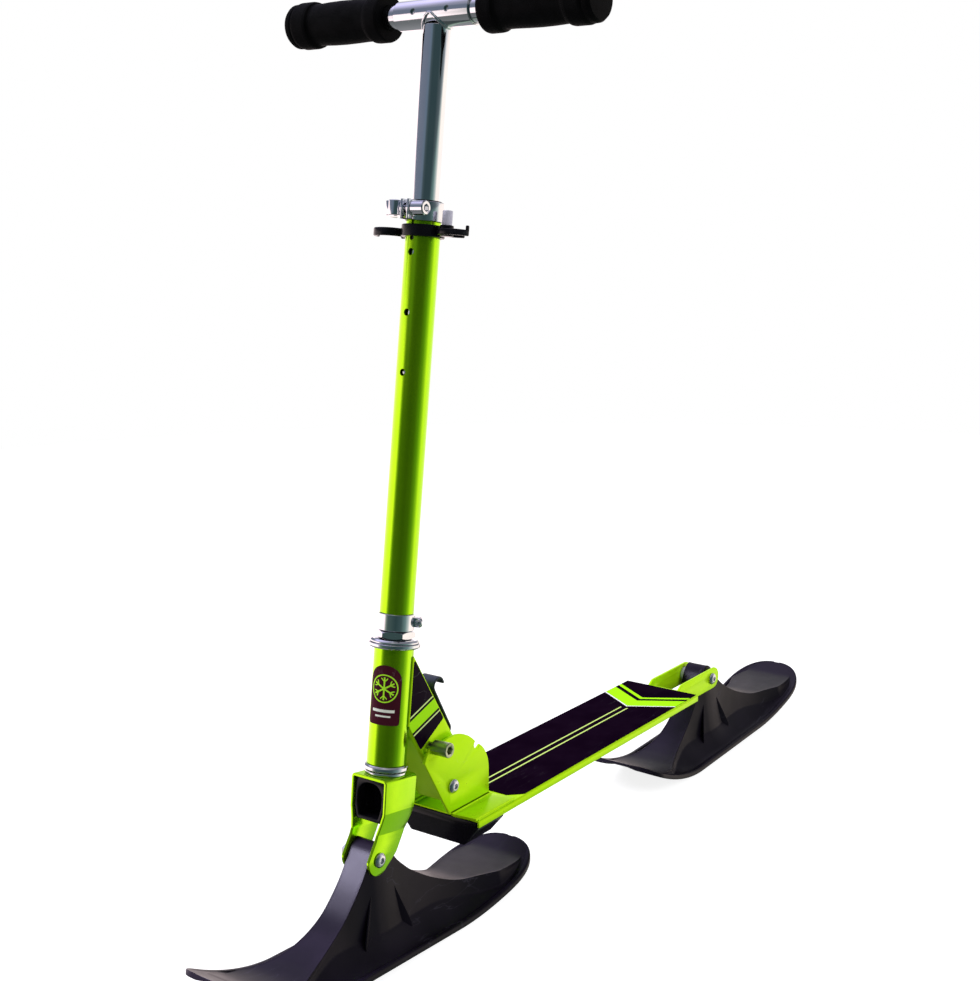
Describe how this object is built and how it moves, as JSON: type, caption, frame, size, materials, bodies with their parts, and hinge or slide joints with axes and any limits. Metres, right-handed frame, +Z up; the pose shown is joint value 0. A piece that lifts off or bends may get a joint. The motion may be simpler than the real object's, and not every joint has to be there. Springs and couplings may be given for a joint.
{
  "type": "snow scooter",
  "caption": "Folding snow scooter: flat deck on two rocking moulded skis, telescopic steering column with T-bar, fork crown and hinge bracket with a sliding lock.",
  "frame": {"origin": "on the ground, below the middle of the outer box", "axes": "+Z up, -Y towards the front ski, +X towards the rider's left"},
  "size_m": [0.342, 1.0667, 0.8734],
  "materials": {
    "lime_paint": "gloss",
    "chrome": "mirror",
    "zinc": "satin",
    "dark_steel": "satin",
    "black_plastic": "satin",
    "grip_rubber": "matte",
    "deck_sheet": "matte",
    "label_print": "satin",
    "pale_nylon": "satin"
  },
  "bodies": {
    "deck": {"deck": "lime_paint", "deck_decal": "deck_sheet", "deck_beam": "dark_steel", "front_cap": "black_plastic", "rear_fork": "lime_paint", "hinge_plate_left": "lime_paint", "hinge_plate_right": "lime_paint", "pivot_bolt": "zinc", "pivot_nut": "zinc", "pivot_washer_left": "pale_nylon", "pivot_washer_right": "pale_nylon", "rear_ski_bolt": "zinc", "rear_ski_nut": "zinc", "rear_spacer_left": "pale_nylon", "rear_spacer_right": "pale_nylon"},
    "arm": {"folding_arm": "lime_paint", "arm_bush": "zinc", "arm_decal_left": "deck_sheet", "arm_decal_right": "deck_sheet", "head_tube": "lime_paint", "head_label": "label_print", "lower_cup": "chrome", "upper_cup": "chrome", "lower_bearing": "zinc", "upper_bearing": "zinc"},
    "latch": {"lock_pin": "dark_steel", "latch_lever": "dark_steel"},
    "column": {"lower_race": "chrome", "upper_cone": "chrome", "locknut": "chrome", "fork": "lime_paint", "fork_liner": "black_plastic", "steerer": "zinc", "clamp_sleeve": "chrome", "sleeve_screw": "zinc", "outer_tube": "lime_paint", "column_bush": "black_plastic", "clamp_collar": "chrome", "skewer": "zinc", "skewer_nut": "chrome", "holder_clip": "black_plastic", "holder_pin": "pale_nylon", "front_ski_bolt": "zinc", "front_ski_nut": "zinc"},
    "cam_lever": {"cam_lever": "chrome"},
    "handlebar": {"t_bar": "chrome", "button_spring": "dark_steel"},
    "height_button": {"height_button": "zinc"},
    "grip_left": {"bar_tube_left": "chrome", "grip_left": "grip_rubber"},
    "grip_right": {"bar_tube_right": "chrome", "grip_right": "grip_rubber"},
    "grip_button_left": {"grip_button_left": "zinc"},
    "grip_button_right": {"grip_button_right": "zinc"},
    "front_ski": {"front_ski": "black_plastic"},
    "rear_ski": {"rear_ski": "black_plastic"}
  },
  "joints": [
    {"name": "fold", "type": "hinge", "parent": "deck", "child": "arm", "pos_m": [0, -0.2416, 0.1358], "axis": [-1, 0, 0], "range_deg": [0, 81.86]},
    {"name": "latch_slide", "type": "slide", "parent": "arm", "child": "latch", "axis": [0, -0.4848, 0.8746], "range_m": [-0.0054, 0.0016], "stiffness_N_per_m": 600, "springref_m": -0.0054},
    {"name": "steer", "type": "hinge", "parent": "arm", "child": "column", "pos_m": [0, -0.3198, 0.095], "axis": [0, 0.1416, 0.9899], "range_deg": [-45, 45]},
    {"name": "height_slide", "type": "slide", "parent": "column", "child": "handlebar", "axis": [0, 0.1416, 0.9899], "range_m": [0, 0.1082]},
    {"name": "height_button_press", "type": "slide", "parent": "handlebar", "child": "height_button", "axis": [0, -0.9899, 0.1416], "range_m": [-0.003, 0.002], "stiffness_N_per_m": 300},
    {"name": "cam_lever_turn", "type": "hinge", "parent": "column", "child": "cam_lever", "pos_m": [-0.0145, -0.2593, 0.6818], "axis": [0, 0.1416, 0.9899], "range_deg": [0, 90]},
    {"name": "grip_left_pull", "type": "slide", "parent": "handlebar", "child": "grip_left", "axis": [1, 0, 0], "range_m": [0, 0.06]},
    {"name": "grip_right_pull", "type": "slide", "parent": "handlebar", "child": "grip_right", "axis": [-1, 0, 0], "range_m": [0, 0.06]},
    {"name": "grip_button_left_press", "type": "slide", "parent": "grip_left", "child": "grip_button_left", "axis": [0, -0.9899, 0.1416], "range_m": [-0.0024, 0.0015], "stiffness_N_per_m": 300},
    {"name": "grip_button_right_press", "type": "slide", "parent": "grip_right", "child": "grip_button_right", "axis": [0, -0.9899, 0.1416], "range_m": [-0.0024, 0.0015], "stiffness_N_per_m": 300},
    {"name": "front_ski_pitch", "type": "hinge", "parent": "column", "child": "front_ski", "pos_m": [0, -0.341, 0.095], "axis": [1, 0, 0], "range_deg": [-15.5, 10.5]},
    {"name": "rear_ski_pitch", "type": "hinge", "parent": "deck", "child": "rear_ski", "pos_m": [0, 0.297, 0.095], "axis": [1, 0, 0], "range_deg": [-14.5, 11.5]}
  ]
}
